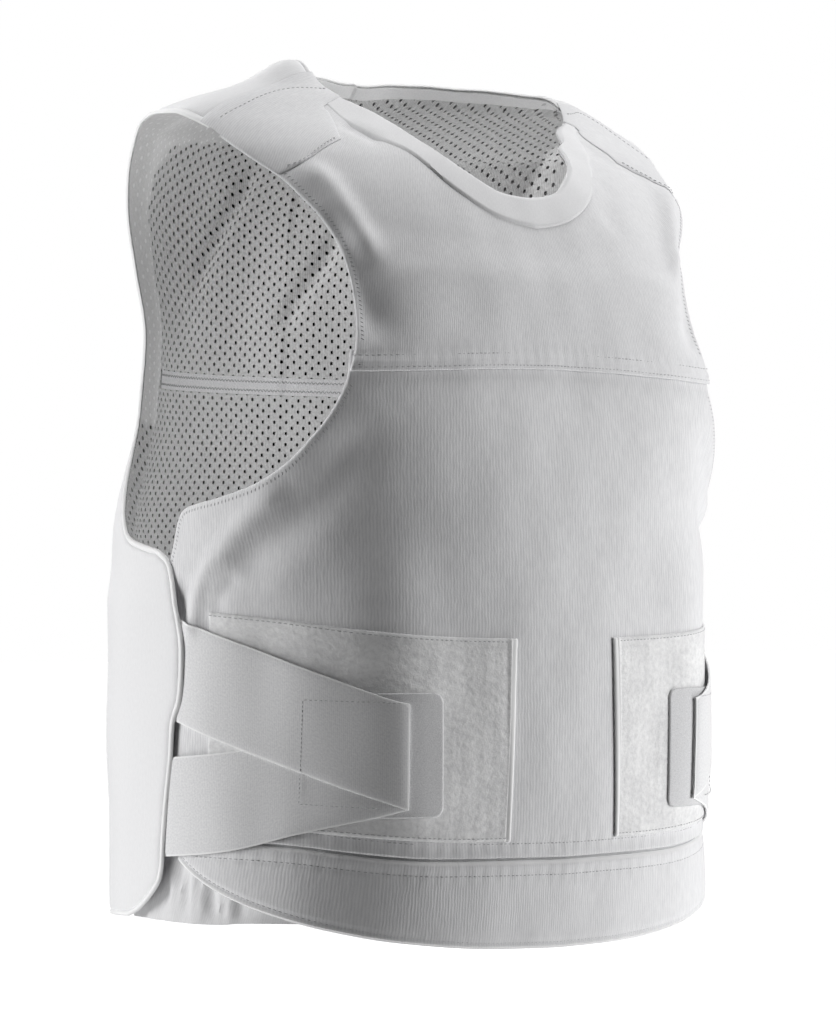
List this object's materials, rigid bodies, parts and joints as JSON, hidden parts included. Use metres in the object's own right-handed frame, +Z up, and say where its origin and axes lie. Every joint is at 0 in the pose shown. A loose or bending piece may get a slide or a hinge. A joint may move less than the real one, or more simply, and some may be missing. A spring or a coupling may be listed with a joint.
{
  "type": "concealable bulletproof vest",
  "caption": "Concealable armour vest with ribbed cover, mesh lining over an armour panel, shoulder tabs, loop patches and elastic side straps, filled out as worn.",
  "frame": {"origin": "where the vest hangs on its wearer: midway between the shoulders, level with the neck ends of the shoulder lines", "axes": "+Z up, -Y the way the wearer faces, +X to the wearer's left"},
  "size_m": [0.3556, 0.2732, 0.4863],
  "materials": {
    "cover_cloth": "white ribbed cotton and polyester cloth, matt",
    "under_cloth": "thin white gathered cloth, matt",
    "lining_mesh": "light grey perforated knit mesh, matt",
    "armour_cover": "black coated cover cloth, slightly shiny",
    "trim_cloth": "white trim cloth and tape, matt",
    "loop_pile": "white loop pile of a hook-and-loop fastener",
    "elastic_webbing": "white woven elastic, ribbed"
  },
  "bodies": {
    "root": {"back_panel": "cover_cloth", "front_panel": "cover_cloth", "front_yoke": "cover_cloth", "neck_band": "cover_cloth", "front_tail": "cover_cloth", "shoulder_tab_right": "cover_cloth", "shoulder_tab_left": "cover_cloth", "under_tail_cloth": "under_cloth", "back_lining": "lining_mesh", "front_inner_panel": "lining_mesh", "back_armour": "armour_cover", "lining_tape": "trim_cloth", "back_neck_facing": "trim_cloth", "hook_pad_right": "trim_cloth", "hook_pad_left": "trim_cloth", "loop_patch_right": "loop_pile", "loop_patch_left": "loop_pile", "upper_strap_right": "elastic_webbing", "upper_strap_left": "elastic_webbing", "lower_strap_right": "elastic_webbing", "lower_strap_left": "elastic_webbing"}
  },
  "joints": []
}
